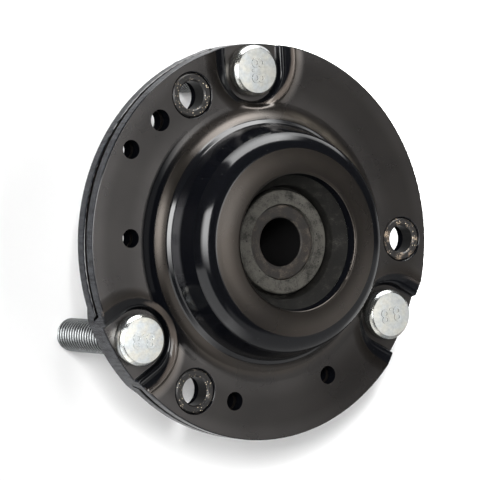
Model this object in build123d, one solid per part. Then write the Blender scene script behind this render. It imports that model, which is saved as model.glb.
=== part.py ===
from build123d import *
from math import cos, radians, sin, tan
import os

# Strut mount: two pressed steel plates with rubber moulded between them and round a
# steel sleeve, three pressed-in studs and three short collars. Lengths are in millimetres
# and angles in degrees. The dome points to +Z, the studs point down, and z = 0 is at
# their tips, on the axis of the rod hole.

# Rod sleeve with the flange that loads the rubber
rod_hole_radius = 7.0
sleeve_wall = 4.2
sleeve_front_height = 8.3
sleeve_length = 25.0
sleeve_edge_chamfer = 0.5
load_flange_width = 12.8
load_flange_thickness = 4.0
load_flange_height = 2.0
load_flange_fillet = 2.0
load_flange_chamfer = 1.0

# Rubber: a rim round the sleeve's face, a groove, and a shoulder up to the mouth's edge
rubber_rim_width = 4.0
rubber_rim_stand = 1.2
rubber_groove_width = 1.2
rubber_groove_depth = 3.0
rubber_shoulder_rise = 0.9
rubber_lip_cover = 0.2
rubber_lip_drop = 1.3
rubber_flange_reach = 0.3
rubber_soft_round = 0.35

# Dome of the front plate, on its outer side, from its mouth out to its foot
mouth_gap = 4.8
dome_width = 16.2
dome_height = 17.7
dome_wall_lean = 16.4
dome_crown_fall = 9.0
dome_foot_fillet = 6.5
dome_crown_fillet = 6.25
mouth_edge_round = 0.8

# Slight bow of the dome's crown: it falls less next to the mouth
bow_lip_width = 3.6
bow_lip_fall = 4.0
bow_radius = 40.0

# Narrow ledge that the forming die left at the foot of the dome's wall
ledge_height = 4.2
ledge_width = 1.4
ledge_tilt = 40.0
ledge_foot_lean = 33.0
ledge_edge_round = 0.6
ledge_root_fillet = 1.0

# Shallower cup of the back plate, on its outer side
cup_width = 13.0
cup_height = 13.5
cup_wall_lean = 20.0
cup_crown_fall = 4.0
cup_foot_fillet = 4.5
cup_crown_fillet = 5.5

# Flat flange of both plates
stud_to_dome_foot = 14.4
stud_to_rim = 8.15
front_sheet = 3.6
back_sheet = 3.6
flange_gap = 1.5
rim_round = 0.4

# Studs, equally spaced, with a round flat head at the front
stud_count = 3
stud_first_angle = 90
stud_length = 40.0
thread_radius = 5.0
knurl_height = 0.3
tip_chamfer = 0.8
head_radius = 7.6
head_height = 3.9
head_bevel = 1.0
head_edge_round = 0.5

# Collars, one beside each stud, in clearance holes of the front plate
collar_inset = 0.9
collar_angle_from_stud = 27
collar_radius = 6.4
collar_bore_radius = 4.2
collar_mouth_chamfer = 0.4
collar_hole_clearance = 0.2
collar_hole_round = 0.4
through_hole_radius = 5.0

# Small holes through both plates: distance in from the rim, angle, hole radius
small_holes = [
    (8.25, 132.1, 3.15),
    (5.65, 146.1, 2.75),
    (12.65, 174.8, 2.7),
    (10.75, 253.4, 2.75),
    (12.75, 295.5, 2.7),
]

# Shallow dimple that a press tool left on the front plate's rim
dimple_angle = 222
dimple_radius = 2.0
dimple_depth = 0.7

# Stud seats pressed into the plates: a flat floor, a steep wall up to a crease, then a
# shoulder that slopes far out to both sides and only a little towards the dome
seat_depth = 3.2
seat_floor_half_width = 9.2
seat_crease_half_width = 9.6
seat_crease_depth = 1.4
seat_shoulder_width = 4.4
seat_shoulder_reach = 0.9
seat_mouth_fillet = 3.0
seat_crease_round = 0.5
seat_floor_round = 0.5
seat_wall = 2.0
seat_back_draft = 1.4
seat_back_round = 1.2
nest_clearance = 0.8
pad_half_width = 11.8
pad_draft = 3.0

# Half width of a seat's mouth, and how far its round end shifts from the stud to the rim
seat_mouth_half_width = seat_crease_half_width + seat_shoulder_width
seat_mouth_shift = seat_shoulder_width - seat_shoulder_reach

# Radii that follow from these sizes, from the rod hole outwards
sleeve_radius = rod_hole_radius + sleeve_wall
load_flange_radius = sleeve_radius + load_flange_width
rubber_rim_radius = sleeve_radius + rubber_rim_width
mouth_radius = rubber_rim_radius + mouth_gap
dome_foot_radius = mouth_radius + dome_width
cup_foot_radius = mouth_radius + cup_width
rubber_flange_radius = dome_foot_radius + rubber_flange_reach
stud_circle_radius = dome_foot_radius + stud_to_dome_foot
collar_circle_radius = stud_circle_radius - collar_inset
plate_radius = stud_circle_radius + stud_to_rim

# Heights that follow from these sizes
flange_front = stud_length + seat_depth
front_plate_under = flange_front - front_sheet
back_plate_top = front_plate_under - flange_gap
back_plate_under = back_plate_top - back_sheet
seat_floor = flange_front - seat_depth
seat_under = seat_floor - front_sheet
pad_face = seat_under - back_sheet
sleeve_front = flange_front + sleeve_front_height
sleeve_back = sleeve_front - sleeve_length

# Tools reach this far past the face that they cut, and the blanks past their final rim
overrun = 1.0
trim_allowance = 3.0

# Edges this close to a height or a radius are taken to lie on it
touch = 0.01


def around(radius, angle, height=0):
    """Place at a distance from the axis, turned to an angle."""
    return Rot(0, 0, angle) * Pos(radius, 0, height)


def stud_angles():
    return [stud_first_angle + index * 360 / stud_count for index in range(stud_count)]


def pressed_line(foot_radius, height, wall_lean, crown_fall, fillets, foot_corners=(), crown_corners=()):
    """Outer line of an untrimmed plate from its rim to its mouth, with its flange on y = 0."""
    lean = tan(radians(wall_lean))
    fall = tan(radians(crown_fall))
    crown_radius = (foot_radius - lean * (height + mouth_radius * fall)) / (1 - lean * fall)
    crown_height = height - (crown_radius - mouth_radius) * fall
    return FilletPolyline(
        (plate_radius + trim_allowance, 0),
        *(foot_corners or [(foot_radius, 0)]),
        (crown_radius, crown_height),
        *crown_corners,
        (mouth_radius, height),
        radius=fillets,
    )


def sheet_section(outer_line, even_line, sheet):
    """Face between a plate's outer line and the line one sheet inside its even form."""
    inner_line = offset(even_line, amount=sheet, side=Side.LEFT, closed=False)
    rim = Line(outer_line @ 0, inner_line @ 1)
    mouth = Line(outer_line @ 1, inner_line @ 0)
    section = make_face([outer_line, inner_line, rim, mouth])
    mouth_corners = section.vertices().sort_by(Axis.X)[:2]
    return fillet(mouth_corners, mouth_edge_round)


def ledge_corners():
    """Corners of the dome's foot: where it leaves the flange, the ledge's edge and the ledge's root."""
    root_radius = dome_foot_radius - ledge_height * tan(radians(dome_wall_lean))
    edge_radius = root_radius + ledge_width * cos(radians(ledge_tilt))
    edge_height = ledge_height - ledge_width * sin(radians(ledge_tilt))
    start_radius = edge_radius + edge_height * tan(radians(ledge_foot_lean))
    return [(start_radius, 0), (edge_radius, edge_height), (root_radius, ledge_height)]


def front_section():
    form = (dome_foot_radius, dome_height, dome_wall_lean, dome_crown_fall)
    even_line = pressed_line(*form, (dome_foot_fillet, dome_crown_fillet))
    bow_corner = (mouth_radius + bow_lip_width, dome_height - bow_lip_width * tan(radians(bow_lip_fall)))
    fillets = (dome_foot_fillet, ledge_edge_round, ledge_root_fillet, dome_crown_fillet, bow_radius)
    outer_line = pressed_line(*form, fillets, ledge_corners(), [bow_corner])
    return Pos(0, flange_front) * sheet_section(outer_line, even_line, front_sheet)


def back_section():
    outer_line = pressed_line(
        cup_foot_radius,
        cup_height,
        cup_wall_lean,
        cup_crown_fall,
        (cup_foot_fillet, cup_crown_fillet),
    )
    section = sheet_section(outer_line, outer_line, back_sheet)
    return Pos(0, back_plate_under) * mirror(section, about=Plane.XZ)


def turned(section):
    """Solid of revolution of a section drawn with x as the radius and y as the height."""
    return revolve(Plane.XZ * section, Axis.Z)


def seat_outline(half_width, height, shift=0):
    """U-shaped face round a stud, round towards the axis and open past the rim."""
    centre = stud_circle_radius + shift
    open_end = plate_radius + trim_allowance + shift + overrun
    round_end = ThreePointArc((centre, half_width), (centre - half_width, 0), (centre, -half_width))
    open_sides = Polyline(
        (centre, -half_width),
        (open_end, -half_width),
        (open_end, half_width),
        (centre, half_width),
    )
    return Pos(0, 0, height) * make_face([round_end, open_sides])


def at_each_stud(shape):
    return [Rot(0, 0, angle) * shape for angle in stud_angles()]


def seat_block(low_half_width, high_half_width, low, high, shift=0):
    """Drafted U-shaped block between two heights, carried on upwards past the higher one."""
    beyond = (high - low + overrun) / (high - low)
    top_half_width = low_half_width + beyond * (high_half_width - low_half_width)
    sections = [
        seat_outline(low_half_width, low),
        seat_outline(top_half_width, high + overrun, beyond * shift),
    ]
    return loft(sections, ruled=True)


def lower_edges(block):
    """Edges of a block's lower face, but for the one at its open end."""
    return block.faces().sort_by(Axis.Z)[0].edges().sort_by(Axis.X)[:3]


def pressed_boss(low_half_width, high_half_width, low, high):
    """Underside of a seat, with a rounded lower edge."""
    boss = seat_block(low_half_width, high_half_width, low, high)
    return fillet(lower_edges(boss), seat_back_round)


def is_above(edge, height):
    return edge.bounding_box().min.Z > height - touch


def lies_at(edge, height):
    return is_above(edge, height) and edge.bounding_box().max.Z < height + touch


def has_radius(edge, radius):
    return edge.geom_type == GeomType.CIRCLE and abs(edge.radius - radius) < touch


def cut_seats(plate):
    """Cut the three seats: steep walls, then sloped shoulders with a soft upper edge."""
    crease_height = flange_front - seat_crease_depth
    walls = seat_block(seat_floor_half_width, seat_crease_half_width, seat_floor, crease_height)
    plate -= at_each_stud(fillet(lower_edges(walls), seat_floor_round))
    widths = (seat_crease_half_width, seat_mouth_half_width)
    shoulders = at_each_stud(seat_block(*widths, crease_height, flange_front, seat_mouth_shift))
    shouldered = plate - shoulders
    cut_edges = new_edges(plate, *shoulders, combined=shouldered)
    upper_edges = cut_edges.filter_by(lambda edge: is_above(edge, flange_front))
    shouldered = fillet(upper_edges, seat_mouth_fillet)
    creases = shouldered.edges().filter_by(lambda edge: lies_at(edge, crease_height))
    return fillet(creases, seat_crease_round)


def trimmed(plate, front, back):
    """Trim a plate's blank to its rim and round the rim's edges along the flange."""
    blank = plate.bounding_box()
    plate &= Pos(0, 0, blank.center().Z) * Cylinder(plate_radius, blank.size.Z + 2 * overrun)
    rim_edges = plate.edges().filter_by(lambda edge: has_radius(edge, plate_radius))
    return fillet(rim_edges.filter_by(lambda edge: lies_at(edge, front) or lies_at(edge, back)), rim_round)


def drilled(radius, top, bottom):
    """Drill from a front face down through a back face, past both."""
    return Pos(0, 0, bottom - overrun) * extrude(Circle(radius), top - bottom + 2 * overrun)


def drill_plate(plate, top, bottom, collar_hole_radius):
    """Stud, collar and small holes of one plate."""
    for angle in stud_angles():
        plate -= around(stud_circle_radius, angle) * drilled(thread_radius + knurl_height, top, bottom)
        collar_angle = angle + collar_angle_from_stud
        plate -= around(collar_circle_radius, collar_angle) * drilled(collar_hole_radius, top, bottom)
    for rim_distance, angle, hole_radius in small_holes:
        plate -= around(plate_radius - rim_distance, angle) * drilled(hole_radius, top, bottom)
    return plate


def make_front_plate():
    collar_hole_radius = collar_radius + collar_hole_clearance
    boss_half_width = seat_floor_half_width + seat_wall
    boss = pressed_boss(boss_half_width, boss_half_width + seat_back_draft, seat_under, front_plate_under)
    plate = turned(front_section()) + at_each_stud(boss)
    plate = trimmed(cut_seats(plate), flange_front, front_plate_under)
    plate = drill_plate(plate, flange_front, seat_under, collar_hole_radius)
    hole_edges = plate.edges().filter_by(lambda edge: has_radius(edge, collar_hole_radius))
    plate = fillet(hole_edges.filter_by(lambda edge: lies_at(edge, flange_front)), collar_hole_round)
    ball_height = flange_front + dimple_radius - dimple_depth
    return plate - around(plate_radius, dimple_angle, ball_height) * Sphere(dimple_radius)


def make_back_plate():
    nest_half_width = seat_floor_half_width + seat_wall + nest_clearance
    pad = pressed_boss(pad_half_width, pad_half_width + pad_draft, pad_face, back_plate_under)
    nest = seat_block(nest_half_width, nest_half_width + nest_clearance, seat_under, back_plate_top)
    plate = turned(back_section()) + at_each_stud(pad)
    plate -= at_each_stud(nest)
    plate = trimmed(plate, back_plate_top, back_plate_under)
    return drill_plate(plate, back_plate_top, pad_face, through_hole_radius)


def make_stud():
    """Stud on the axis, its tip at z = 0."""
    knurl_radius = thread_radius + knurl_height
    head_top = seat_floor + head_height
    half_section = make_face(
        Polyline(
            (0, 0),
            (thread_radius - tip_chamfer, 0),
            (thread_radius, tip_chamfer),
            (thread_radius, pad_face),
            (knurl_radius, pad_face),
            (knurl_radius, seat_floor),
            (head_radius, seat_floor),
            (head_radius, head_top - head_bevel),
            (head_radius - head_bevel, head_top),
            (0, head_top),
            close=True,
        )
    )
    upper_corners = half_section.vertices().filter_by(lambda corner: corner.X > thread_radius)
    return turned(fillet(upper_corners.sort_by(Axis.Y)[-2:], head_edge_round))


def make_collar():
    """Collar on the axis, standing on the back plate and flush with the flange."""
    height = flange_front - back_plate_top
    collar = extrude(Circle(collar_radius) - Circle(collar_bore_radius), height)
    collar = chamfer(collar.edges().filter_by(GeomType.CIRCLE).group_by(Axis.Z)[-1], collar_mouth_chamfer)
    return Pos(0, 0, back_plate_top) * collar


def sleeve_section():
    tube = Pos(rod_hole_radius, sleeve_back) * Rectangle(
        sleeve_radius - rod_hole_radius,
        sleeve_length,
        align=(Align.MIN, Align.MIN),
    )
    tube = chamfer(tube.vertices(), sleeve_edge_chamfer)
    flange_middle = flange_front - load_flange_height
    flange = Pos(rod_hole_radius + sleeve_edge_chamfer, flange_middle) * Rectangle(
        load_flange_radius - rod_hole_radius - sleeve_edge_chamfer,
        load_flange_thickness,
        align=(Align.MIN, Align.CENTER),
    )
    section = tube + flange
    roots = section.vertices().filter_by_position(Axis.X, sleeve_radius - touch, sleeve_radius + touch)
    section = fillet(roots.sort_by(Axis.Y)[1:-1], load_flange_fillet)
    flange_corners = section.vertices().sort_by(Axis.X)[-2:]
    return chamfer(flange_corners, load_flange_chamfer)


def rubber_free_line(sleeve_end, mouth_level, away):
    """Free surface of the rubber from the sleeve to inside the plate's mouth, away = 1 up or -1 down."""
    rim_level = sleeve_end + away * rubber_rim_stand
    groove_level = rim_level - away * rubber_groove_depth
    groove_end = rubber_rim_radius + rubber_groove_width
    shoulder_level = rim_level + away * rubber_shoulder_rise
    return FilletPolyline(
        (sleeve_radius, rim_level),
        (rubber_rim_radius, rim_level),
        (rubber_rim_radius + rubber_soft_round, groove_level),
        (groove_end, groove_level),
        (groove_end + rubber_soft_round, shoulder_level),
        (mouth_radius + rubber_lip_cover, mouth_level),
        radius=(2 * rubber_soft_round, rubber_soft_round, rubber_soft_round, 2 * rubber_soft_round),
    )


def rubber_section():
    """Everything between the plates and round the sleeve, with a free surface at each end."""
    in_dome_sheet = flange_front + dome_height - front_sheet / 2
    in_cup_sheet = back_plate_under - cup_height + back_sheet / 2
    front_line = rubber_free_line(sleeve_front, in_dome_sheet - rubber_lip_drop, 1)
    back_line = rubber_free_line(sleeve_back, in_cup_sheet + rubber_lip_drop, -1)
    outline = Polyline(
        front_line @ 1,
        (mouth_radius + rubber_lip_cover, in_dome_sheet),
        (rubber_flange_radius, in_dome_sheet),
        (rubber_flange_radius, in_cup_sheet),
        (mouth_radius + rubber_lip_cover, in_cup_sheet),
        back_line @ 1,
    )
    along_sleeve = Line(back_line @ 0, front_line @ 0)
    block = make_face([front_line, outline, back_line, along_sleeve])
    pieces = block - front_section() - back_section() - sleeve_section()
    return pieces.faces().sort_by(SortBy.AREA)[-1]


def main():
    parts = {
        "front_plate": make_front_plate(),
        "back_plate": make_back_plate(),
        "rubber_body": turned(rubber_section()),
        "rod_sleeve": turned(sleeve_section()),
    }
    for index, angle in enumerate(stud_angles(), start=1):
        parts[f"stud_{index}"] = around(stud_circle_radius, angle) * make_stud()
        collar_angle = angle + collar_angle_from_stud
        parts[f"collar_{index}"] = around(collar_circle_radius, collar_angle) * make_collar()
    os.makedirs("parts", exist_ok=True)
    for name, shape in parts.items():
        export_step(shape, f"parts/{name}.step")


if __name__ == "__main__":
    main()
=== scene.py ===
"""Strut mount: studio, camera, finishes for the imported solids, and the modelled studs."""

import logging
import math
from dataclasses import dataclass
from enum import Enum
from functools import partial, reduce

import bpy
from mathutils import Matrix, Vector


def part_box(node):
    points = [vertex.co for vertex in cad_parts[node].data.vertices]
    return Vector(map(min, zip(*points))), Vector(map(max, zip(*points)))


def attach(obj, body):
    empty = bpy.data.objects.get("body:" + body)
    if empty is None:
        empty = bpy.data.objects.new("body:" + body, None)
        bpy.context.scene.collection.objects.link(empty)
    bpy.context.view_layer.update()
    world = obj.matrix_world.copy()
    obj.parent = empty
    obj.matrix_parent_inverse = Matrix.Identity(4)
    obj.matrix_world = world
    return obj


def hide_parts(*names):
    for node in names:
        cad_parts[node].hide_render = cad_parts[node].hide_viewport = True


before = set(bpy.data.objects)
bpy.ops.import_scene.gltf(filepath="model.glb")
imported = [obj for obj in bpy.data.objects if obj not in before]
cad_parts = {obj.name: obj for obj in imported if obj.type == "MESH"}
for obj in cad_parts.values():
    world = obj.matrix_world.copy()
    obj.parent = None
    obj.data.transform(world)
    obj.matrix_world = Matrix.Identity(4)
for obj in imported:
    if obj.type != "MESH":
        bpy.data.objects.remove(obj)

LOG = logging.getLogger("strut_mount")

Socket = bpy.types.NodeSocket
Triple = tuple[float, float, float]
Limits = tuple[float, float]
Value = float | tuple | Socket
Piece = bpy.types.Object

MM = 0.001
WHITE: Triple = (1.0, 1.0, 1.0)
NOISE_SPAN: Limits = (0.3, 0.7)
STUD_NODES = ("stud_1", "stud_2", "stud_3")
GROOVE_SHADE = "groove_shade"


class Slot(Enum):
    """Names of the material slots, which each finish carries."""

    PLATE = "plate_coating"
    RUBBER = "rubber"
    SLEEVE = "sleeve_steel"
    STUD = "stud_zinc"
    COLLAR = "collar_coating"


class Blend(Enum):
    """Ways in which a ramp goes from its start to its end."""

    SMOOTH = "SMOOTHSTEP"
    STRAIGHT = "LINEAR"


class Combination(Enum):
    """Ways in which two closed meshes are made one."""

    BOTH = "UNION"
    OVERLAP = "INTERSECT"


@dataclass(frozen=True)
class Grain:
    """Noise pattern: its size in millimetres, its octaves, and the strength of the finer ones."""

    size: float
    octaves: float = 2.0
    roughness: float = 0.5


@dataclass(frozen=True)
class Specks:
    """Scattered dots: their usual distance in millimetres, and a dot's radius as a share of it."""

    spacing: float
    reach: float


@dataclass(frozen=True)
class Region:
    """Part of a surface, by soft limits of the radius, height and so on.

    Two limits are where the region begins, or where it ends if the first is the larger one. Four are where
    it begins and where it ends. Radius, across and along are in millimetres from the rod's axis, and height
    from the stud tips. Level goes from 0 on upright faces to 1 on level ones.
    """

    radius: tuple[float, ...] = ()
    height: tuple[float, ...] = ()
    across: tuple[float, ...] = ()
    along: tuple[float, ...] = ()
    level: tuple[float, ...] = ()


class Graph:
    """Builds one node tree in few words."""

    MIX_COLOURS = (6, 7)
    MIX_NUMBERS = (2, 3)
    MIXED_COLOUR = 2
    MIXED_NUMBER = 0

    def __init__(self, tree: bpy.types.NodeTree) -> None:
        """Take a node tree and empty it."""
        self.tree = tree
        tree.nodes.clear()

    def add(self, kind: str, inputs: dict[str | int, Value] | None = None,
            **settings: object) -> bpy.types.Node:
        """Add one node.

        Args:
            kind: Blender's name of the node type.
            inputs: Values or sockets for the node's inputs.
            settings: Attributes of the node, which are set first.

        Returns:
            The new node.
        """
        node = self.tree.nodes.new(kind)
        for name, value in settings.items():
            setattr(node, name, value)
        for name, value in (inputs or {}).items():
            self.feed(node.inputs[name], value)
        return node

    def feed(self, socket: Socket, value: Value) -> None:
        """Give an input a value, or link it to an output.

        Args:
            socket: The input.
            value: A number, a colour or an output socket.
        """
        if isinstance(value, bpy.types.NodeSocket):
            self.tree.links.new(value, socket)
        elif socket.type == "RGBA":
            socket.default_value = (*value, 1.0)
        else:
            socket.default_value = value

    def math(self, operation: str, *values: Value) -> Socket:
        """Return the result of a Math node, with its operands in order."""
        return self.add("ShaderNodeMath", dict(enumerate(values)), operation=operation).outputs[0]

    def total(self, *values: Value) -> Socket:
        """Return the sum of several values."""
        return reduce(partial(self.math, "ADD"), values)

    def product(self, *values: Value) -> Socket:
        """Return the product of several values."""
        return reduce(partial(self.math, "MULTIPLY"), values)

    def least(self, *values: Value) -> Socket:
        """Return the smallest of several values."""
        return reduce(partial(self.math, "MINIMUM"), values)

    def most(self, *values: Value) -> Socket:
        """Return the largest of several values."""
        return reduce(partial(self.math, "MAXIMUM"), values)

    def inverse(self, mask: Socket) -> Socket:
        """Return 1 where a mask is 0, and 0 where it is 1."""
        return self.math("SUBTRACT", 1.0, mask)

    def length(self, first: Socket, second: Socket) -> Socket:
        """Return the length of a flat vector, from its two parts."""
        return self.math("SQRT", self.total(self.product(first, first), self.product(second, second)))

    def parts(self, vector: Socket) -> tuple[Socket, ...]:
        """Return the X, Y and Z part of a vector."""
        return tuple(self.add("ShaderNodeSeparateXYZ", {0: vector}).outputs)

    def ramp(self, value: Value, limits: Limits, start: Value = 0.0, end: Value = 1.0,
             blend: Blend = Blend.SMOOTH) -> Socket:
        """Make a value that goes from start to end as another goes from one limit to the next.

        Args:
            value: The value that is followed.
            limits: Where the change begins and ends.
            start: Result at and before the first limit.
            end: Result at and past the second limit.
            blend: Shape of the change.

        Returns:
            The new value.
        """
        low, high = limits
        inputs = {"Value": value, "From Min": low, "From Max": high, "To Min": start, "To Max": end}
        node = self.add("ShaderNodeMapRange", inputs, interpolation_type=blend.value, clamp=True)
        return node.outputs["Result"]

    def band(self, value: Value, low: Limits, high: Limits) -> Socket:
        """Return 1 between a soft lower limit and a soft upper one, and 0 outside them."""
        return self.product(self.ramp(value, low), self.ramp(value, high, 1.0, 0.0))

    def mix(self, factor: Value, first: Value, second: Value) -> Socket:
        """Return the first of two colours at a factor of 0, and the second at 1."""
        inputs = dict(zip((0, *self.MIX_COLOURS), (factor, first, second)))
        return self.add("ShaderNodeMix", inputs, data_type="RGBA").outputs[self.MIXED_COLOUR]

    def between(self, factor: Value, first: Value, second: Value) -> Socket:
        """Return the first of two numbers at a factor of 0, and the second at 1."""
        inputs = dict(zip((0, *self.MIX_NUMBERS), (factor, first, second)))
        return self.add("ShaderNodeMix", inputs, data_type="FLOAT").outputs[self.MIXED_NUMBER]

    def where(self, mask: Value, share: Value) -> Socket:
        """Return a share where a mask is 1, and 1 where the mask is 0."""
        return self.between(mask, 1.0, share)

    def scaled(self, colour: Value, share: Value) -> Socket:
        """Return a colour times a share."""
        return self.add("ShaderNodeVectorMath", {0: colour, "Scale": share}, operation="SCALE").outputs[0]


class Surface(Graph):
    """Node tree of a material, with the places and directions that its masks follow.

    Lengths are in metres in the tree. The limits and sizes that the methods take are in millimetres.
    """

    SPECK_CORE = 0.5

    def __init__(self, tree: bpy.types.NodeTree) -> None:
        """Empty a node tree and read the coordinates.

        Args:
            tree: The node tree of a material.
        """
        super().__init__(tree)
        coordinates = self.add("ShaderNodeTexCoord").outputs
        self.place = coordinates["Object"]
        self.across, self.along, self.height = self.parts(self.place)
        self.radius = self.length(self.across, self.along)
        self.rightwards, _, upwards = self.parts(coordinates["Normal"])
        self.level = self.math("ABSOLUTE", upwards)

    def step(self, value: Socket, limits: Limits, start: float = 0.0, end: float = 1.0) -> Socket:
        """Return a ramp over a length, with its limits in millimetres."""
        low, high = limits
        return self.ramp(value, (low * MM, high * MM), start, end)

    def fence(self, value: Socket, limits: tuple[float, ...], unit: float = MM) -> Socket:
        """Test a value by soft limits, which are given as for a region.

        Args:
            value: The value.
            limits: Two or four limits.
            unit: What a limit of 1 stands for.

        Returns:
            1 inside the limits and 0 outside them.
        """
        first, second, *others = limits
        span = sorted((first * unit, second * unit))
        edge = self.ramp(value, span) if first < second else self.ramp(value, span, 1.0, 0.0)
        if not others:
            return edge
        return self.product(edge, self.fence(value, tuple(reversed(others)), unit))

    def mask(self, region: Region) -> Socket:
        """Mark a region.

        Args:
            region: The region.

        Returns:
            1 inside it and 0 outside it.
        """
        limits = {name: values for name, values in vars(region).items() if values}
        units = {"level": 1.0}
        return self.product(*(self.fence(getattr(self, name), values, units.get(name, MM))
                              for name, values in limits.items()))

    def noise(self, grain: Grain, place: Socket | None = None) -> Socket:
        """Make a noise value about 0.5.

        Args:
            grain: The pattern.
            place: Coordinates that it follows, or None for the object's own.

        Returns:
            The value.
        """
        inputs = {
            "Vector": self.place if place is None else place,
            "Scale": 1.0 / (grain.size * MM),
            "Detail": grain.octaves,
            "Roughness": grain.roughness,
        }
        return self.add("ShaderNodeTexNoise", inputs).outputs[0]

    def specks(self, specks: Specks) -> Socket:
        """Mark scattered small dots.

        Args:
            specks: The dots.

        Returns:
            1 inside the dots and 0 elsewhere.
        """
        inputs = {"Vector": self.place, "Scale": 1.0 / (specks.spacing * MM), "Randomness": 1.0}
        distance = self.add("ShaderNodeTexVoronoi", inputs).outputs["Distance"]
        return self.ramp(distance, (self.SPECK_CORE * specks.reach, specks.reach), 1.0, 0.0)

    def bump(self, height: Socket, depth: float, under: Socket | None = None) -> Socket:
        """Make a normal that follows a height.

        Args:
            height: Height from 0 to 1.
            depth: Height in millimetres that 1 stands for.
            under: Normal that the bump is added to, or None for the mesh's own.

        Returns:
            The normal.
        """
        inputs = {"Height": height, "Distance": depth * MM, "Strength": 1.0}
        if under is not None:
            inputs["Normal"] = under
        return self.add("ShaderNodeBump", inputs).outputs["Normal"]

    def show(self, shader: bpy.types.Node) -> None:
        """Give the surface a shader."""
        self.add("ShaderNodeOutputMaterial", {"Surface": shader.outputs[0]})


def new_material(name: str) -> tuple[bpy.types.Material, Surface]:
    """Add a material.

    Args:
        name: Its name.

    Returns:
        The material and its node tree, which is empty but for the coordinates.
    """
    material = bpy.data.materials.new(name)
    material.use_nodes = True
    return material, Surface(material.node_tree)


def direction(azimuth: float, elevation: float) -> Vector:
    """Turn two angles into a direction.

    Args:
        azimuth: Degrees from +X towards +Y.
        elevation: Degrees above the floor's plane.

    Returns:
        The direction, as a vector of length 1.
    """
    turn = math.radians(azimuth)
    rise = math.radians(elevation)
    level = math.cos(rise)
    return Vector((level * math.cos(turn), level * math.sin(turn), math.sin(rise)))


class Workshop:
    """Small operations on meshes that several pieces share. Lengths are in metres."""

    TOLERANCE = 0.01 * MM

    @staticmethod
    def pick(piece: Piece, *others: Piece) -> None:
        """Select nothing but some pieces, and make the first of them active.

        Args:
            piece: The first piece.
            others: The others, if any.
        """
        bpy.ops.object.select_all(action="DESELECT")
        for each in (piece, *others):
            each.select_set(True)
        bpy.context.view_layer.objects.active = piece

    @staticmethod
    def settle() -> Piece:
        """Apply the active piece's place, turn and size to its mesh, and return it."""
        bpy.ops.object.transform_apply(location=True, rotation=True, scale=True)
        return bpy.context.object

    @staticmethod
    def add_plane(size: float, location: Triple, rotation: Triple = (0.0, 0.0, 0.0)) -> Piece:
        """Add a square plane, and return it."""
        bpy.ops.object.select_all(action="DESELECT")
        bpy.ops.mesh.primitive_plane_add(size=size, location=location, rotation=rotation)
        return bpy.context.object

    @staticmethod
    def add_rod(radius: float, low: float, high: float, sides: int, turn: float = 0.0) -> Piece:
        """Add an upright rod on the axis.

        Args:
            radius: Its radius.
            low: Height of its lower end.
            high: Height of its upper end.
            sides: Number of its sides.
            turn: Its turn about the axis, in degrees.

        Returns:
            The rod.
        """
        bpy.ops.object.select_all(action="DESELECT")
        bpy.ops.mesh.primitive_cylinder_add(vertices=sides, radius=radius, depth=high - low,
                                            location=(0.0, 0.0, (low + high) / 2),
                                            rotation=(0.0, 0.0, math.radians(turn)))
        return Workshop.settle()

    @staticmethod
    def edit_faces(piece: Piece, height: float) -> None:
        """Open a piece in edit mode, with only the faces at a height selected.

        Args:
            piece: The mesh object.
            height: Height of the faces' centres.
        """
        Workshop.pick(piece)
        bpy.ops.object.mode_set(mode="EDIT")
        bpy.ops.mesh.select_all(action="DESELECT")
        bpy.ops.object.mode_set(mode="OBJECT")
        for polygon in piece.data.polygons:
            polygon.select = abs(polygon.center.z - height) < Workshop.TOLERANCE
        bpy.ops.object.mode_set(mode="EDIT")

    @staticmethod
    def edit_all() -> None:
        """Open the active piece in edit mode, with all of it selected."""
        bpy.ops.object.mode_set(mode="EDIT")
        bpy.ops.mesh.select_all(action="SELECT")

    @staticmethod
    def close() -> None:
        """Leave edit mode."""
        bpy.ops.object.mode_set(mode="OBJECT")

    @staticmethod
    def extrude(offset: Triple) -> None:
        """Extrude, in edit mode, what is selected."""
        bpy.ops.mesh.extrude_region_move(TRANSFORM_OT_translate={"value": offset})

    @staticmethod
    def bevel_end(piece: Piece, height: float, offset: float) -> None:
        """Bevel the edges of the faces at a height.

        Args:
            piece: The mesh object.
            height: Height of the faces.
            offset: Width of the bevel.
        """
        Workshop.edit_faces(piece, height)
        bpy.ops.mesh.bevel(offset=offset, segments=1, affect="EDGES")
        Workshop.close()

    @staticmethod
    def cut(height: float, keep_above: bool) -> None:
        """Cut, in edit mode, all of a piece at a height and close the cut.

        Args:
            height: Height of the cut.
            keep_above: Whether the part above the cut is kept, and not the one below it.
        """
        bpy.ops.mesh.select_all(action="SELECT")
        bpy.ops.mesh.bisect(plane_co=(0.0, 0.0, height), plane_no=(0.0, 0.0, 1.0), use_fill=True,
                            clear_inner=keep_above, clear_outer=not keep_above)

    @staticmethod
    def apply_modifiers(piece: Piece) -> None:
        """Apply every modifier of a piece.

        Args:
            piece: The mesh object.
        """
        Workshop.pick(piece)
        for modifier in list(piece.modifiers):
            bpy.ops.object.modifier_apply(modifier=modifier.name)

    @staticmethod
    def combine(piece: Piece, tool: Piece, way: Combination) -> None:
        """Combine a piece with a tool by a boolean, and remove the tool.

        Args:
            piece: The mesh object that is kept.
            tool: The mesh object that acts on it.
            way: How the two are combined.
        """
        modifier = piece.modifiers.new("combine", "BOOLEAN")
        modifier.operation = way.value
        modifier.solver = "EXACT"
        modifier.object = tool
        Workshop.apply_modifiers(piece)
        bpy.data.objects.remove(tool)

    @staticmethod
    def smooth(piece: Piece, angle: float) -> None:
        """Shade a piece smooth, but for edges sharper than an angle in degrees."""
        Workshop.pick(piece)
        bpy.ops.object.shade_smooth_by_angle(angle=math.radians(angle))

    @staticmethod
    def store(piece: Piece, name: str, marks: list[float]) -> None:
        """Store a number for each corner point of a piece, as an attribute."""
        attribute = piece.data.attributes.new(name, "FLOAT", "POINT")
        attribute.data.foreach_set("value", marks)


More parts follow.
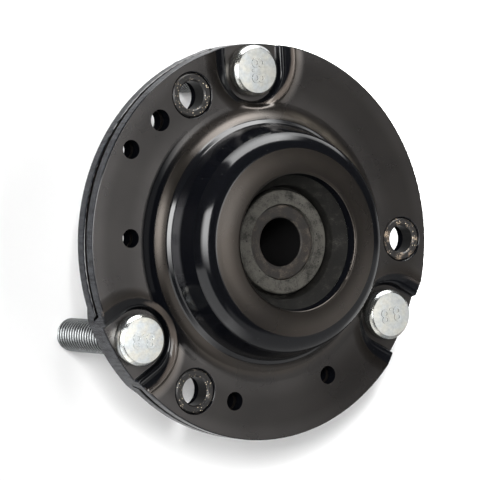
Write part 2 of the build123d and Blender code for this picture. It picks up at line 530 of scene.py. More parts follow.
@dataclass(frozen=True)
class Panel:
    """Bright or dim patch of the studio, given by direction, with soft edges.

    Angles are in degrees: azimuth from +X towards +Y, elevation from the floor's plane.
    """

    azimuth: float
    left: Limits
    right: Limits
    low: Limits
    high: Limits
    radiance: float

    def glow(self, graph: Graph, azimuth: Socket, elevation: Socket) -> Socket:
        """Work out the panel's light from a direction.

        Args:
            graph: The world's node tree.
            azimuth: Azimuth of the direction, in degrees.
            elevation: Elevation of the direction, in degrees.

        Returns:
            The radiance.
        """
        offset = graph.math("SUBTRACT", azimuth, self.azimuth)
        across = graph.math("WRAP", offset, -180.0, 180.0)
        return graph.product(graph.band(across, self.right, self.left),
                             graph.band(elevation, self.low, self.high), self.radiance)


@dataclass(frozen=True)
class Viewpoint:
    """Camera given by its target, distance and direction, with image up close to +Y.

    Lengths are in millimetres and angles in degrees. The clip distances are in metres.
    """

    target: Triple = (-6.27, 0.92, 39.12)
    distance: float = 786.1
    azimuth: float = 175.12
    elevation: float = 57.33
    roll: float = 3.1
    lens: float = 199.4
    sensor: float = 36.0
    clip: Limits = (0.01, 50.0)

    def axes(self) -> tuple[Vector, Vector, Vector]:
        """Work out the camera's axes.

        Returns:
            Its right, up and backward directions.
        """
        back = direction(self.azimuth, self.elevation)
        right = Vector((0.0, 1.0, 0.0)).cross(back).normalized()
        right.rotate(Matrix.Rotation(-math.radians(self.roll), 3, back))
        return right, back.cross(right), back

    def place(self) -> None:
        """Add the camera and make it the scene's own."""
        right, up, back = self.axes()
        camera = bpy.data.cameras.new("photo_camera")
        camera.lens = self.lens
        camera.sensor_width = self.sensor
        camera.clip_start, camera.clip_end = self.clip
        holder = bpy.data.objects.new("photo_camera", camera)
        bpy.context.scene.collection.objects.link(holder)
        spot = (Vector(self.target) + self.distance * back) * MM
        holder.matrix_world = Matrix.Translation(spot) @ Matrix((right, up, back)).transposed().to_4x4()
        bpy.context.scene.camera = holder


@dataclass(frozen=True)
class Lamp:
    """Square area lamp that points at the object. Angles are in degrees and lengths in metres."""

    name: str
    azimuth: float
    elevation: float
    distance: float
    size: float
    power: float

    def hang(self) -> None:
        """Add the lamp, hidden from reflections."""
        data = bpy.data.lights.new(self.name, "AREA")
        data.shape = "SQUARE"
        data.size = self.size
        data.energy = self.power
        lamp = bpy.data.objects.new(self.name, data)
        bpy.context.scene.collection.objects.link(lamp)
        away = direction(self.azimuth, self.elevation)
        lamp.location = away * self.distance
        lamp.rotation_euler = away.to_track_quat("Z", "Y").to_euler()
        lamp.visible_glossy = False


@dataclass(frozen=True)
class Softbox:
    """Bright cloth close to the object, brightest near one side, fading across it and at its lower edge.

    Angles are in degrees and lengths in metres. The limits are shares of the width and height.
    """

    name: str = "key_softbox"
    azimuth: float = 173.0
    elevation: float = 39.0
    distance: float = 0.5
    width: float = 0.4
    height: float = 0.36
    radiance: float = 9.5
    near_edge: Limits = (-0.5, -0.4)
    fade_across: Limits = (-0.1, 0.5)
    far_share: float = 0.06
    fade_low: Limits = (-0.5, 0.05)

    def hang(self) -> None:
        """Add the softbox, which the camera doesn't see."""
        away = direction(self.azimuth, self.elevation)
        turn = away.to_track_quat("Z", "Y").to_euler()
        box = Workshop.add_plane(1.0, tuple(away * self.distance), tuple(turn))
        box.name = self.name
        box.scale = (self.width, self.height, 1.0)
        material, surface = new_material(self.name)
        strength = surface.product(surface.ramp(surface.across, self.near_edge),
                                   surface.ramp(surface.across, self.fade_across, 1.0, self.far_share),
                                   surface.ramp(surface.along, self.fade_low), self.radiance)
        surface.show(surface.add("ShaderNodeEmission", {"Color": WHITE, "Strength": strength}))
        box.data.materials.append(material)
        box.visible_camera = False


@dataclass(frozen=True)
class Studio:
    """White studio with a softbox and soft panels, whose reflections draw the black coat.

    The camera sees the floor whiter far from the object and beside it on the right, but not in front of
    it, where its shadow shows. The floor's span is in metres.
    """

    view: Viewpoint = Viewpoint()
    key: Softbox = Softbox()
    top: Panel = Panel(82.0, (21.0, 25.0), (-38.0, -18.0), (-42.0, 10.0), (23.0, 27.0), 7.4)
    top_side: Panel = Panel(37.0, (12.0, 20.0), (-16.0, -10.0), (-32.0, -24.0), (-6.0, 2.0), 1.5)
    front_left: Panel = Panel(-137.0, (22.0, 50.0), (-27.0, -24.0), (-26.0, -14.0), (28.0, 36.0), 1.3)
    front: Panel = Panel(-60.0, (50.0, 56.0), (-58.0, -50.0), (-26.0, -18.0), (48.0, 56.0), 0.4)
    side: Panel = Panel(-15.0, (14.0, 20.0), (-20.0, -12.0), (-38.0, -30.0), (-4.0, 2.0), 0.4)
    overhead: Panel = Panel(10.0, (36.0, 46.0), (-56.0, -36.0), (59.0, 73.0), (84.0, 87.0), 4.0)
    horizon: Panel = Panel(-15.0, (50.0, 60.0), (-60.0, -50.0), (-56.0, -50.0), (-32.0, -24.0), 0.9)
    ground: Panel = Panel(0.0, (181.0, 182.0), (-182.0, -181.0), (-92.0, -91.0), (-50.0, -38.0), 0.6)
    gloom: float = 0.05
    shade: Lamp = Lamp("shade_lamp", 152.6, 53.0, 1.6, 0.42, 90.0)
    floor_span: float = 24.0
    floor_colour: Triple = (0.9, 0.9, 0.9)
    floor_lift: float = 0.04
    floor_far: Region = Region(radius=(80.0, 450.0))
    floor_right: Region = Region(across=(10.0, 50.0), along=(-45.0, -20.0))

    def build(self) -> None:
        """Add the camera, the world, the lights and the floor."""
        self.view.place()
        self.light_world()
        self.key.hang()
        self.shade.hang()
        self.lay_floor()

    def panels(self) -> list[Panel]:
        """Return every panel of the world."""
        return [value for value in vars(self).values() if isinstance(value, Panel)]

    def light_world(self) -> None:
        """Light the world by the direction of each ray, and show the camera plain white."""
        world = bpy.data.worlds.new("studio_world")
        world.use_nodes = True
        bpy.context.scene.world = world
        graph = Graph(world.node_tree)
        across, along, height = graph.parts(graph.add("ShaderNodeTexCoord").outputs["Generated"])
        azimuth = graph.math("DEGREES", graph.math("ARCTAN2", along, across))
        elevation = graph.math("DEGREES", graph.math("ARCSINE", height))
        glows = [panel.glow(graph, azimuth, elevation) for panel in self.panels()]
        radiance = graph.total(self.gloom, *glows)
        studio = graph.add("ShaderNodeBackground", {"Color": WHITE, "Strength": radiance})
        white = graph.add("ShaderNodeBackground", {"Color": WHITE, "Strength": 1.0})
        seen = graph.add("ShaderNodeLightPath").outputs["Is Camera Ray"]
        mixed = graph.add("ShaderNodeMixShader", {0: seen, 1: studio.outputs[0], 2: white.outputs[0]})
        graph.add("ShaderNodeOutputWorld", {"Surface": mixed.outputs[0]})

    def lay_floor(self) -> None:
        """Lay the pale floor, which takes shadows and stays out of reflections."""
        floor = Workshop.add_plane(self.floor_span, (0.0, 0.0, 0.0))
        floor.name = "studio_floor"
        material, surface = new_material("floor_paper")
        paper = surface.add("ShaderNodeBsdfDiffuse", {"Color": self.floor_colour})
        away = surface.most(surface.mask(self.floor_far), surface.mask(self.floor_right))
        seen = surface.add("ShaderNodeLightPath").outputs["Is Camera Ray"]
        strength = surface.product(seen, surface.between(away, self.floor_lift, 1.0))
        lift = surface.add("ShaderNodeEmission", {"Color": WHITE, "Strength": strength})
        surface.show(surface.add("ShaderNodeAddShader", {0: paper.outputs[0], 1: lift.outputs[0]}))
        floor.data.materials.append(material)
        floor.visible_glossy = False


@dataclass(frozen=True)
class Finish:
    """Base of every finish: one Principled shader on Object coordinates."""

    name: str
    slot: Slot
    ior: float = 1.5

    def make(self) -> bpy.types.Material:
        """Make the finish.

        Returns:
            A new material.
        """
        material, surface = new_material(self.name)
        shader = surface.add("ShaderNodeBsdfPrincipled", {"IOR": self.ior, **self.paint(surface)})
        surface.show(shader)
        return material

    def paint(self, surface: Surface) -> dict[str, Value]:
        """Work out what the shader is fed; each finish has its own."""
        raise NotImplementedError


@dataclass(frozen=True)
class PlateCoat(Finish):
    """Glossy black coat, with a brownish bloom on the flange and on the dome's ring face.

    The bloom is a duller layer with brownish reflections, on flat faces and round the dome's foot. Limits
    and distances are in millimetres, and shares multiply the reflection unless their names say otherwise.
    Most shares, and the root, shoulder and sheen colours, paint light and shade: they make the reflection
    or colour lighter or darker by region and side, as the studio's light falls.
    """

    RING_EDGE = (27.3, 27.7)
    WALL_RADIUS = (35.5, 36.0)
    WALL_HEIGHT = (49.6, 50.9)
    WALL_FOOT = (36.1, 36.4)
    FOOT_EDGE = (38.3, 38.9)
    FOOT_REACH = (41.5, 43.0)
    FLANGE_HEIGHT = (42.0, 42.3)
    RIM_RADIUS = (58.0, 58.3)

    name: str = "plate_coat"
    slot: Slot = Slot.PLATE
    gloss_colour: Triple = (0.002, 0.0022, 0.003)
    gloss_level: float = 0.5
    gloss_roughness: float = 0.12
    bloom_colour: Triple = (0.005, 0.0043, 0.0037)
    bloom_tint: Triple = (1.0, 0.95, 0.93)
    bloom_level: float = 0.8
    bloom_roughness: float = 0.3
    bloom_flat: Limits = (0.35, 0.55)
    seat_flat: Limits = (0.957, 0.984)
    clouds: Grain = Grain(14.0, 3.0, 0.55)
    cloud_span: Limits = (0.25, 0.75)
    cloud_share: Limits = (0.8, 1.0)
    grain: Grain = Grain(0.35, 2.0, 0.6)
    grain_depth: float = 0.006
    gloss_grain: float = 0.15
    dust: Specks = Specks(2.6, 0.045)
    dust_share: float = 0.3
    dust_colour: Triple = (0.25, 0.24, 0.22)
    flange: Region = Region(radius=(38.6, 41.0), height=FLANGE_HEIGHT)
    # painted light: the flange's reflection is made stronger towards the left, where the light falls from
    flange_across: Limits = (-48.0, 40.0)
    flange_share: Limits = (1.33, 1.0)
    # painted highlight: stronger reflection on the flange round the dome's foot
    near: Region = Region(radius=(*FOOT_EDGE, 42.0, 48.0))
    near_share: float = 1.5
    # painted shade: weaker reflection on the flange's lower right part
    corner: Region = Region(across=(2.0, 36.0), along=(-22.0, -44.0))
    corner_share: float = 0.52
    # painted light: stronger reflection on the flange towards the rim
    margin: Limits = (53.0, 57.5)
    margin_share: float = 1.45
    ring_tint: Triple = (1.0, 0.87, 0.76)
    # painted light: the ring face's reflection changes from left to right as the light falls
    ring_across: Limits = (-24.0, 20.0)
    ring_share: Limits = (0.9, 2.1)
    # painted shade: weaker reflection on the ring face near the lip
    lip: Limits = (20.5, 25.5)
    lip_share: float = 0.4
    dome: Region = Region(radius=(*RING_EDGE, *WALL_FOOT))
    near_foot: Region = Region(radius=FOOT_REACH[::-1])
    foot: Region = Region(radius=(*WALL_FOOT, *FOOT_EDGE))
    # painted shade: weaker reflection on the dome's foot
    foot_share: float = 0.55
    # painted light and shade: the foot's reflection changes from left to right
    foot_across: Limits = (-30.0, -10.0)
    foot_side_share: Limits = (0.88, 1.75)
    # painted highlight: stronger reflection on the ledge at the wall's foot, for a bright streak
    ledge: Region = Region(radius=(34.9, 35.3, *WALL_FOOT))
    ledge_share: float = 1.45
    # painted shade: the hollow round the foot on the left keeps almost no reflection and no bloom
    hollow: Region = Region(radius=(38.5, 39.0, *FOOT_REACH), across=(-24.0, -36.0))
    hollow_share: float = 0.06
    # painted sheen: a pale brown band in wisps on the foot's upper right, in place of a reflected band
    gold: Region = Region(radius=(36.2, 37.2, 38.2, 40.6), across=(4.0, 16.0), along=(-4.0, 12.0),
                          height=FLANGE_HEIGHT)
    gold_wisps: Grain = Grain(5.0, 3.0, 0.6)
    gold_thin: float = 0.35
    gold_colour: Triple = (0.05, 0.044, 0.036)
    # painted shade: weaker reflection on the wall's upper part and in the holes
    wall_steep: Limits = (0.29, 0.36)
    wall_share: float = 0.08
    hole_steep: Limits = (0.1, 0.3)
    # painted reflection: a grey patch on the lower left of the dome's wall
    root: Region = Region(radius=WALL_RADIUS[::-1], height=WALL_HEIGHT[::-1], across=(0.0, -6.0),
                          along=(-13.0, -3.0, 8.0, 18.0), level=(0.6, 0.45))
    root_colour: Triple = (0.026, 0.026, 0.028)
    mouth_half_width: float = 14.0
    mouth_shift: float = 3.5
    mouth_round: float = 3.6
    mouth_drop: float = 0.5
    # painted shade: weaker reflection on the rolled band beside each seat's mouth
    mouth_share: float = 0.72
    # painted light: a lighter brown on the mouths' shoulders where they face left, towards the light
    shoulder: tuple[float, ...] = (-1.5, -0.6, 0.4, 0.8)
    shoulder_facing: Limits = (-0.25, -0.08)
    shoulder_colour: Triple = (0.062, 0.052, 0.045)
    rim: Region = Region(radius=RIM_RADIUS, level=(0.8, 0.4))
    rim_colour: Triple = (0.014, 0.016, 0.021)
    streak_scale: Triple = (1.0, 1.0, 0.15)
    streaks: Grain = Grain(0.8, 4.0, 0.7)
    streak_span: Limits = (0.35, 0.65)
    streak_share: Limits = (0.35, 1.25)

    def paint(self, surface: Surface) -> dict[str, Value]:
        """Mix gloss and bloom, with clouds, fine grain and a little dust, and paint light and shade.

        Args:
            surface: Node tree of the material.

        Returns:
            Inputs of the shader by name.
        """
        past = self.past_mouth(surface)
        flange = surface.mask(self.flange)
        nearness = surface.ramp(past, (0.0, self.mouth_round * MM), 1.0, 0.0, Blend.STRAIGHT)
        beside = surface.product(nearness, flange)
        hollow = surface.mask(self.hollow)
        rim = surface.mask(self.rim)
        streaks = self.streaking(surface)
        clouds = surface.ramp(surface.noise(self.clouds), self.cloud_span, *self.cloud_share)
        bloom = surface.product(self.zone(surface, hollow), clouds)
        plain = surface.math("SUBTRACT", surface.step(surface.radius, self.flange.radius), beside)
        tint = surface.mix(plain, self.ring_tint, self.bloom_tint)
        # painted light and shade: these shares make the reflection stronger or weaker by region and side
        reflection = surface.product(
            surface.between(bloom, self.gloss_level, self.bloom_level),
            surface.where(bloom, self.sideways(surface)),
            surface.where(rim, streaks),
            surface.where(beside, self.mouth_share),
            surface.where(hollow, self.hollow_share),
            self.dimming(surface),
            self.fading(surface),
        )
        leftwards = surface.ramp(surface.rightwards, self.shoulder_facing, 1.0, 0.0)
        wisps = surface.ramp(surface.noise(self.gold_wisps), NOISE_SPAN, self.gold_thin, 1.0)
        # painted reflection on the wall's root, painted light on left-facing shoulders, painted sheen on
        # the foot
        patches = (
            (surface.mask(self.root), self.root_colour),
            (surface.product(leftwards, surface.fence(past, self.shoulder), flange), self.shoulder_colour),
            (surface.product(surface.mask(self.gold), wisps), self.gold_colour),
            (surface.product(rim, streaks), self.rim_colour),
            (surface.product(surface.specks(self.dust), self.dust_share), self.dust_colour),
        )
        coat = surface.mix(bloom, self.gloss_colour, self.bloom_colour)
        for share, colour in patches:
            coat = surface.mix(share, coat, colour)
        return {
            "Base Color": coat,
            "Specular Tint": surface.mix(bloom, WHITE, tint),
            "Specular IOR Level": reflection,
            "Roughness": surface.between(bloom, self.gloss_roughness, self.bloom_roughness),
            "Normal": self.relief(surface, bloom, beside),
        }

    def relief(self, surface: Surface, bloom: Socket, beside: Socket) -> Socket:
        """Roll the flange over at the seats' mouths, and grain the coat, most of all in the bloom.

        Args:
            surface: Node tree of the material.
            bloom: Share of the bloom.
            beside: Nearness to a seat's mouth.

        Returns:
            The normal.
        """
        rolled = surface.bump(surface.inverse(surface.product(beside, beside)), self.mouth_drop)
        grain = surface.product(surface.noise(self.grain), surface.between(bloom, self.gloss_grain, 1.0))
        return surface.bump(grain, self.grain_depth, rolled)

    def streaking(self, surface: Surface) -> Socket:
        """Draw the upright streaks on the cut rim.

        Args:
            surface: Node tree of the material.

        Returns:
            Their share of the rim's colour and reflection.
        """
        mapping = surface.add("ShaderNodeMapping", {"Vector": surface.place, "Scale": self.streak_scale})
        noise = surface.noise(self.streaks, mapping.outputs[0])
        return surface.ramp(noise, self.streak_span, *self.streak_share)

    def past_mouth(self, surface: Surface) -> Socket:
        """Measure how far a point lies outside the mouth of the nearest stud seat.

        Args:
            surface: Node tree of the material.

        Returns:
            The distance in metres, negative inside the mouth.
        """
        distances = []
        for node in STUD_NODES:
            low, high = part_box(node)
            middle = ((low + high) / 2).xy
            turn = {"Vector": surface.place, "Angle": -math.atan2(middle.y, middle.x)}
            turned = surface.add("ShaderNodeVectorRotate", turn, rotation_type="Z_AXIS")
            outwards, aside, _ = surface.parts(turned.outputs[0])
            beyond = surface.math("SUBTRACT", outwards, middle.length + self.mouth_shift * MM)
            distances.append(surface.length(surface.least(beyond, 0.0), aside))
        return surface.math("SUBTRACT", surface.least(*distances), self.mouth_half_width * MM)

    def sideways(self, surface: Surface) -> Socket:
        """Paint light and shade into the bloom's reflection by side and region: flange, foot and ring face.

        Args:
            surface: Node tree of the material.

        Returns:
            Its share.
        """
        flange = surface.product(surface.step(surface.across, self.flange_across, *self.flange_share),
                                 surface.where(surface.mask(self.corner), self.corner_share),
                                 surface.where(surface.mask(self.near), self.near_share))
        ring = surface.step(surface.across, self.ring_across, *self.ring_share)
        foot = surface.step(surface.across, self.foot_across, *self.foot_side_share)
        return surface.product(surface.between(surface.step(surface.radius, self.RING_EDGE), ring, flange),
                               surface.where(surface.mask(self.foot), foot))

    def dimming(self, surface: Surface) -> Socket:
        """Paint shade on upright faces, most of all on the wall's upper part and in the holes.

        Args:
            surface: Node tree of the material.

        Returns:
            The share of the reflection that is left.
        """
        wall = surface.most(surface.step(surface.radius, self.WALL_RADIUS),
                            surface.ramp(surface.level, self.wall_steep),
                            surface.step(surface.height, self.WALL_HEIGHT, 1.0, self.wall_share))
        holes = surface.most(surface.ramp(surface.level, self.hole_steep),
                             surface.step(surface.radius, self.RIM_RADIUS), surface.mask(self.near_foot))
        return surface.product(wall, holes)

    def fading(self, surface: Surface) -> Socket:
        """Return the painted light and shade in the reflection at the lip, foot, ledge and rim."""
        return surface.product(surface.step(surface.radius, self.lip, self.lip_share, 1.0),
                               surface.step(surface.radius, self.margin, 1.0, self.margin_share),
                               surface.where(surface.mask(self.foot), self.foot_share),
                               surface.where(surface.mask(self.ledge), self.ledge_share))

    def zone(self, surface: Surface, hollow: Socket) -> Socket:
        """Return 1 where the bloom lies: on flat faces and the foot, but not the crown or the hollow."""
        flat = surface.most(surface.ramp(surface.level, self.seat_flat), surface.mask(self.near_foot))
        return surface.product(surface.inverse(surface.mask(self.dome)),
                               surface.ramp(surface.level, self.bloom_flat), flat, surface.inverse(hollow))


@dataclass(frozen=True)
class Rubber(Finish):
    """Matte moulded rubber with a fine grain, and paler dust and small pits on its rim."""

    name: str = "moulded_rubber"
    slot: Slot = Slot.RUBBER
    colour: Triple = (0.005, 0.0049, 0.0044)
    dusty: Triple = (0.022, 0.021, 0.0185)
    dusty_from: Limits = (0.22, 0.4)
    clouds: Grain = Grain(3.0, 4.0, 0.65)
    grain: Grain = Grain(0.3, 3.0, 0.7)
    grain_depth: float = 0.03
    rim: Region = Region(radius=(15.8, 15.0))
    rim_share: float = 2.4
    rim_dust: Limits = (-0.03, 0.1)
    pits: Specks = Specks(2.1, 0.16)
    pit: Triple = (0.004, 0.004, 0.004)
    level: float = 0.14
    roughness: Limits = (0.58, 0.76)

    def paint(self, surface: Surface) -> dict[str, Value]:
        """Mix clean and dusty rubber over two scales of noise, and pit the rim.

        Args:
            surface: Node tree of the material.

        Returns:
            Inputs of the shader by name.
        """
        grain = surface.noise(self.grain)
        on_rim = surface.mask(self.rim)
        settled = surface.total(surface.product(surface.noise(self.clouds), grain),
                                surface.between(on_rim, *self.rim_dust))
        dusted = surface.mix(surface.ramp(settled, self.dusty_from), self.colour, self.dusty)
        pitted = surface.mix(surface.product(surface.specks(self.pits), on_rim), dusted, self.pit)
        return {
            "Base Color": surface.scaled(pitted, surface.where(on_rim, self.rim_share)),
            "Specular IOR Level": self.level,
            "Roughness": surface.ramp(grain, NOISE_SPAN, *self.roughness),
            "Normal": surface.bump(grain, self.grain_depth),
        }


@dataclass(frozen=True)
class SleeveSteel(Finish):
    """Dark phosphated steel with a grainy face, paler in patches, and painted shade in the bore."""

    name: str = "phosphated_steel"
    slot: Slot = Slot.SLEEVE
    colour: Triple = (0.01, 0.0088, 0.0078)
    pale: Triple = (0.06, 0.049, 0.039)
    pale_from: Limits = (0.24, 0.4)
    patches: Grain = Grain(2.2, 3.0, 0.6)
    grain: Grain = Grain(0.25, 3.0, 0.7)
    grain_depth: float = 0.02
    # painted shade: the bore is near-black and keeps no reflection
    bore: Triple = (0.004, 0.004, 0.004)
    face: Region = Region(radius=(7.05, 7.3))
    level: float = 0.5
    roughness: Limits = (0.49, 0.67)

    def paint(self, surface: Surface) -> dict[str, Value]:
        """Grain the steel, pale it in patches and paint shade into the bore.

        Args:
            surface: Node tree of the material.

        Returns:
            Inputs of the shader by name.
        """
        grain = surface.noise(self.grain)
        patches = surface.noise(self.patches)
        pale = surface.ramp(surface.product(grain, patches), self.pale_from)
        face = surface.mask(self.face)
        return {
            "Base Color": surface.mix(face, self.bore, surface.mix(pale, self.colour, self.pale)),
            "Specular IOR Level": surface.between(face, 0.0, self.level),
            "Roughness": surface.ramp(patches, NOISE_SPAN, *self.roughness),
            "Normal": surface.bump(grain, self.grain_depth),
        }


@dataclass(frozen=True)
class Zinc(Finish):
    """Bright zinc plating, frosted by fine grain, tinted slightly blue and yellow, with painted shade in
    its grooves.

    The head and its side are regions, in millimetres. The heads are painted lighter towards the left, as
    painted light, and the thread darker than the head, as painted shade.
    """

    name: str = "zinc_plating"
    slot: Slot = Slot.STUD
    cool: Triple = (0.535, 0.56, 0.565)
    warm: Triple = (0.6, 0.592, 0.54)
    clouds: Grain = Grain(4.0, 3.0, 0.6)
    cloud_span: Limits = (0.35, 0.65)
    mottle: Grain = Grain(1.1, 3.0, 0.7)
    mottle_share: Limits = (0.86, 1.14)
    grain: Grain = Grain(0.35, 3.0, 0.7)
    grain_depth: float = 0.03
    grain_span: Limits = (0.25, 0.75)
    grain_roughness: Limits = (-0.05, 0.08)
    pits: Specks = Specks(1.7, 0.06)
    pit_share: float = 0.5
    pit: Triple = (0.15, 0.15, 0.15)
    groove_shade: Triple = (0.012, 0.013, 0.014)
    groove_from: Limits = (0.15, 0.35)
    head: Region = Region(height=(32.9, 33.0))
    side: Region = Region(height=(32.9, 33.0), level=(0.96, 0.86))
    # painted light: the heads' colour is lighter towards the left, where the light falls from
    across: Limits = (-40.0, -10.0)
    across_share: Limits = (1.28, 0.89)
    # painted shade: the thread's colour is about half the head's
    thread_share: float = 0.54
    metal: float = 0.62
    side_metal: float = 0.97
    roughness: float = 0.38
    side_roughness: float = 0.2
    thread_roughness: float = 0.22

    def paint(self, surface: Surface) -> dict[str, Value]:
        """Frost the plating with fine grain, and polish the head's side and the thread.

        Args:
            surface: Node tree of the material.

        Returns:
            Inputs of the shader by name.
        """
        grain = surface.noise(self.grain)
        on_head = surface.mask(self.head)
        side = surface.mask(self.side)
        on_face = surface.between(side, self.roughness, self.side_roughness)
        smooth = surface.between(on_head, self.thread_roughness, on_face)
        frost = surface.ramp(grain, self.grain_span, *self.grain_roughness)
        return {
            "Base Color": self.colour(surface, on_head),
            "Metallic": surface.between(side, self.metal, self.side_metal),
            "Roughness": surface.total(smooth, frost),
            "Normal": surface.bump(grain, self.grain_depth),
        }

    def colour(self, surface: Surface, on_head: Socket) -> Socket:
        """Tint, mottle and pit the plating; paint light on the heads, shade on the thread and in grooves.

        Args:
            surface: Node tree of the material.
            on_head: 1 on the head and 0 below it.

        Returns:
            The colour.
        """
        warmth = surface.product(surface.ramp(surface.noise(self.clouds), self.cloud_span), on_head)
        mottle = surface.ramp(surface.noise(self.mottle), NOISE_SPAN, *self.mottle_share, Blend.STRAIGHT)
        head_light = surface.step(surface.across, self.across, *self.across_share)
        share = surface.product(mottle, surface.between(on_head, self.thread_share, head_light))
        plated = surface.scaled(surface.mix(warmth, self.cool, self.warm), share)
        pitted = surface.mix(surface.product(surface.specks(self.pits), self.pit_share), plated, self.pit)
        # painted shade: the thread's roots and the digits' foot are darkened by the stored depth
        depth = surface.add("ShaderNodeAttribute", attribute_name=GROOVE_SHADE).outputs["Fac"]
        return surface.mix(surface.ramp(depth, self.groove_from), pitted, self.groove_shade)


@dataclass(frozen=True)
class CollarCoat(Finish):
    """Satin black coat, scuffed to bare steel in places, with painted glints and shade in the bore."""

    name: str = "collar_coat"
    slot: Slot = Slot.COLLAR
    colour: Triple = (0.012, 0.0112, 0.0108)
    scuffed: Triple = (0.27, 0.235, 0.195)
    scuffed_from: float = 0.36
    scuffed_soft: float = 0.06
    patches: Grain = Grain(2.5, 2.0, 0.5)
    grain: Grain = Grain(0.4, 3.0, 0.6)
    grain_depth: float = 0.015
    glints: Specks = Specks(0.9, 0.2)
    glint: Triple = (0.55, 0.46, 0.34)
    # painted shade: upright faces, mostly the bore, are near-black with a weak reflection
    bore: Triple = (0.004, 0.004, 0.004)
    face: Region = Region(level=(0.1, 0.3))
    levels: Limits = (0.08, 0.5)
    roughness: Limits = (0.28, 0.42)

    def paint(self, surface: Surface) -> dict[str, Value]:
        """Scuff the coat where two scales of noise meet, add painted glints and paint shade into the bore.

        Args:
            surface: Node tree of the material.

        Returns:
            Inputs of the shader by name.
        """
        grain = surface.noise(self.grain)
        scuff = surface.ramp(surface.product(surface.noise(self.patches), grain),
                             (self.scuffed_from, self.scuffed_from + self.scuffed_soft))
        worn = surface.mix(scuff, self.colour, self.scuffed)
        glinting = surface.mix(surface.specks(self.glints), worn, self.glint)
        face = surface.mask(self.face)
        return {
            "Base Color": surface.mix(face, self.bore, glinting),
            "Specular IOR Level": surface.between(face, *self.levels),
            "Roughness": surface.ramp(grain, NOISE_SPAN, *self.roughness),
            "Normal": surface.bump(grain, self.grain_depth),
        }


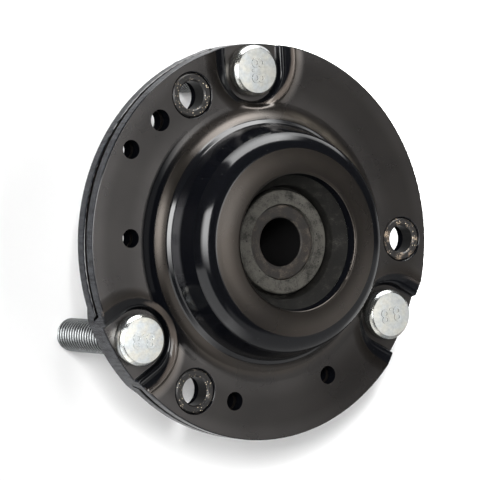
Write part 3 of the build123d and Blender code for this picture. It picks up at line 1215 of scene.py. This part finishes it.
@dataclass
class Studs:
    """Three pressed-in studs with round flat heads and a rolled thread, in millimetres and degrees."""

    finish: Zinc = Zinc()
    turns: Triple = (-92.0, 176.0, 187.0)
    sides: int = 96
    head_thickness: float = 3.9
    head_bevel: float = 1.0
    head_soft: float = 0.18
    soft_steps: int = 2
    soft_angle: float = 30.0
    seat_under: float = 32.8
    knurl_radius: float = 5.3
    neck_radius: float = 4.6
    neck_overlap: float = 1.0
    thread_radius: float = 5.0
    thread_top: float = 30.5
    thread_steps: int = 48
    thread_lead: float = 1.37
    thread_spare: int = 3
    thread_form: float = 0.6134
    pitch: float = 1.5
    crest_share: float = 1 / 8
    root_share: float = 1 / 6
    tip_chamfer: float = 0.9
    blank_share: float = 1.02
    blank_turn: float = 1.3
    merge: float = 0.001
    smooth_angle: float = 32.0
    digits: str = "8.8"
    digit_height: float = 6.2
    digit_rise: float = 0.25
    digit_bevel: float = 0.06
    digit_shade: float = 0.8

    def build(self) -> None:
        """Model one stud and copy it into each seat."""
        pattern = self.model()
        pattern.data.materials.append(self.finish.make())
        for node, turn in zip(STUD_NODES, self.turns):
            low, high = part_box(node)
            piece = pattern.copy()
            piece.data = pattern.data.copy()
            piece.name = f"{node}_threaded"
            bpy.context.scene.collection.objects.link(piece)
            middle = (low + high) / 2
            spot = Matrix.Translation((middle.x, middle.y, low.z))
            piece.data.transform(spot @ Matrix.Rotation(math.radians(turn), 4, "Z"))
            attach(piece, "root")
            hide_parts(node)
            LOG.info("%s: %d faces", piece.name, len(piece.data.polygons))
        bpy.data.objects.remove(pattern)

    def head_size(self) -> tuple[float, float]:
        """Return the head's radius and top height in metres, from the first stud's node."""
        low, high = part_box(STUD_NODES[0])
        return (high.x - low.x) / 2, high.z - low.z

    def thread_depth(self) -> float:
        """Return the depth of the thread in millimetres."""
        return self.thread_form * self.pitch

    def model(self) -> Piece:
        """Model one stud.

        Returns:
            The stud on the axis, with its tip at z = 0.
        """
        body = self.model_head_and_neck()
        Workshop.combine(body, self.model_thread(), Combination.BOTH)
        Workshop.smooth(body, self.smooth_angle)
        self.mark_grooves(body)
        digits = self.model_digits()
        self.mark_digits(digits)
        Workshop.pick(body, digits)
        bpy.ops.object.join()
        return body

    def mark_grooves(self, body: Piece) -> None:
        """Store how deep each corner of the thread lies, from 0 on the crest to 1 at the root.

        Args:
            body: The stud with its head.
        """
        marks = []
        for vertex in body.data.vertices:
            share = (self.thread_radius * MM - vertex.co.xy.length) / (self.thread_depth() * MM)
            on_thread = self.tip_chamfer * MM < vertex.co.z < self.thread_top * MM
            marks.append(min(1.0, max(0.0, share)) if on_thread else 0.0)
        # the depth sets how much painted shade the finish puts in the grooves
        Workshop.store(body, GROOVE_SHADE, marks)

    def mark_digits(self, digits: Piece) -> None:
        """Paint shade at the foot of the digits, with the same attribute as the grooves.

        Args:
            digits: The raised digits.
        """
        _, top = self.head_size()
        marks = [self.digit_shade if vertex.co.z < top else 0.0 for vertex in digits.data.vertices]
        Workshop.store(digits, GROOVE_SHADE, marks)

    def model_head_and_neck(self) -> Piece:
        """Model the head with its bevel, and the knurled and plain necks below it.

        Returns:
            The piece.
        """
        radius, top = self.head_size()
        seat = top - self.head_thickness * MM
        body = Workshop.add_rod(radius, seat, top, self.sides)
        Workshop.bevel_end(body, top, self.head_bevel * MM)
        Workshop.edit_faces(body, seat)
        for inset, drop in self.neck_steps(radius, seat):
            bpy.ops.mesh.inset(thickness=inset)
            Workshop.extrude((0.0, 0.0, -drop))
        Workshop.close()
        soften = body.modifiers.new("soften", "BEVEL")
        soften.width = self.head_soft * MM
        soften.segments = self.soft_steps
        soften.limit_method = "ANGLE"
        soften.angle_limit = math.radians(self.soft_angle)
        Workshop.apply_modifiers(body)
        return body

    def neck_steps(self, radius: float, seat: float) -> list[tuple[float, float]]:
        """Work out the steps below the head.

        Args:
            radius: Radius of the head in metres.
            seat: Height of the head's underside in metres.

        Returns:
            The inset and drop of each step in metres.
        """
        knurl_drop = seat - self.seat_under * MM
        neck_drop = (self.seat_under - self.thread_top + self.neck_overlap) * MM
        return [(radius - self.knurl_radius * MM, knurl_drop),
                ((self.knurl_radius - self.neck_radius) * MM, neck_drop)]

    def thread_profile(self) -> list[tuple[float, float]]:
        """Work out one turn of the thread's outline, from its root.

        Returns:
            The steps outwards and along the axis, in millimetres.
        """
        depth = self.thread_depth()
        crest = self.pitch * self.crest_share
        root = self.pitch * self.root_share
        flank = (self.pitch - crest - root) / 2
        return [(depth, flank), (0.0, crest), (-depth, flank), (0.0, root)]

    def model_thread(self) -> Piece:
        """Model the thread.

        Returns:
            A closed solid with a chamfered start and run-out.
        """
        core = (self.thread_radius - self.thread_depth()) * MM
        Workshop.add_plane(self.pitch * MM, (core, 0.0, -self.thread_lead * self.pitch * MM))
        thread = Workshop.settle()
        Workshop.edit_all()
        bpy.ops.mesh.merge(type="CENTER")
        for out, along in self.thread_profile():
            Workshop.extrude((out * MM, 0.0, along * MM))
        Workshop.close()
        screw = thread.modifiers.new("wind", "SCREW")
        screw.axis = "Z"
        screw.angle = math.tau
        screw.screw_offset = self.pitch * MM
        screw.iterations = math.ceil(self.thread_top / self.pitch) + self.thread_spare
        screw.steps = self.thread_steps
        screw.render_steps = self.thread_steps
        screw.use_merge_vertices = True
        screw.merge_threshold = self.merge * MM
        Workshop.apply_modifiers(thread)
        self.trim_thread(thread)
        return thread

    def trim_thread(self, thread: Piece) -> None:
        """Close the thread at both ends and chamfer them.

        Args:
            thread: The wound thread, open at both ends.
        """
        Workshop.edit_all()
        bpy.ops.mesh.remove_doubles(threshold=2 * self.merge * MM)
        Workshop.cut(0.0, keep_above=True)
        Workshop.cut(self.thread_top * MM, keep_above=False)
        bpy.ops.mesh.select_all(action="SELECT")
        bpy.ops.mesh.normals_make_consistent(inside=False)
        Workshop.close()
        Workshop.combine(thread, self.model_blank(), Combination.OVERLAP)

    def model_blank(self) -> Piece:
        """Model the rod that the thread was rolled on.

        Returns:
            The rod, chamfered at both ends.
        """
        length = self.thread_top * MM
        radius = self.blank_share * self.thread_radius * MM
        blank = Workshop.add_rod(radius, 0.0, length, self.sides, self.blank_turn)
        for height in (0.0, length):
            Workshop.bevel_end(blank, height, self.tip_chamfer * MM)
        return blank

    def model_digits(self) -> Piece:
        """Model the plain raised digits on the head.

        Returns:
            The digits, as a mesh.
        """
        _, top = self.head_size()
        bpy.ops.object.select_all(action="DESELECT")
        bpy.ops.object.text_add(location=(0.0, 0.0, top))
        text = bpy.context.object.data
        text.body = self.digits
        text.align_x = "CENTER"
        text.align_y = "CENTER"
        text.size = self.digit_height * MM
        text.extrude = self.digit_rise * MM
        text.bevel_depth = self.digit_bevel * MM
        bpy.ops.object.convert(target="MESH")
        digits = Workshop.settle()
        Workshop.edit_all()
        bpy.ops.mesh.remove_doubles(threshold=self.merge * MM)
        bpy.ops.mesh.normals_make_consistent(inside=False)
        Workshop.close()
        return digits


@dataclass
class Solids:
    """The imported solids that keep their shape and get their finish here."""

    finishes: tuple[tuple[str, Finish], ...] = (
        ("front_plate", PlateCoat()),
        ("back_plate", PlateCoat()),
        ("rubber_body", Rubber()),
        ("rod_sleeve", SleeveSteel()),
        ("collar_1", CollarCoat()),
        ("collar_2", CollarCoat()),
        ("collar_3", CollarCoat(name="worn_collar_coat", scuffed=(0.2, 0.155, 0.115), scuffed_from=0.29)),
    )

    def dress(self) -> None:
        """Give each node the material of its finish, made once for each finish."""
        made: dict[Finish, bpy.types.Material] = {}
        for node, finish in self.finishes:
            if finish not in made:
                made[finish] = finish.make()
            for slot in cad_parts[node].material_slots:
                slot.material = made[finish]
            LOG.info("%s: %s for %s", node, finish.name, finish.slot.value)


def main() -> None:
    """Build the studio, dress the solids and model the studs."""
    logging.basicConfig(level=logging.INFO, format="%(name)s: %(message)s")
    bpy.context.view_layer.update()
    bpy.context.scene.view_settings.view_transform = "Standard"
    Studio().build()
    Solids().dress()
    Studs().build()


if __name__ == "__main__":
    main()
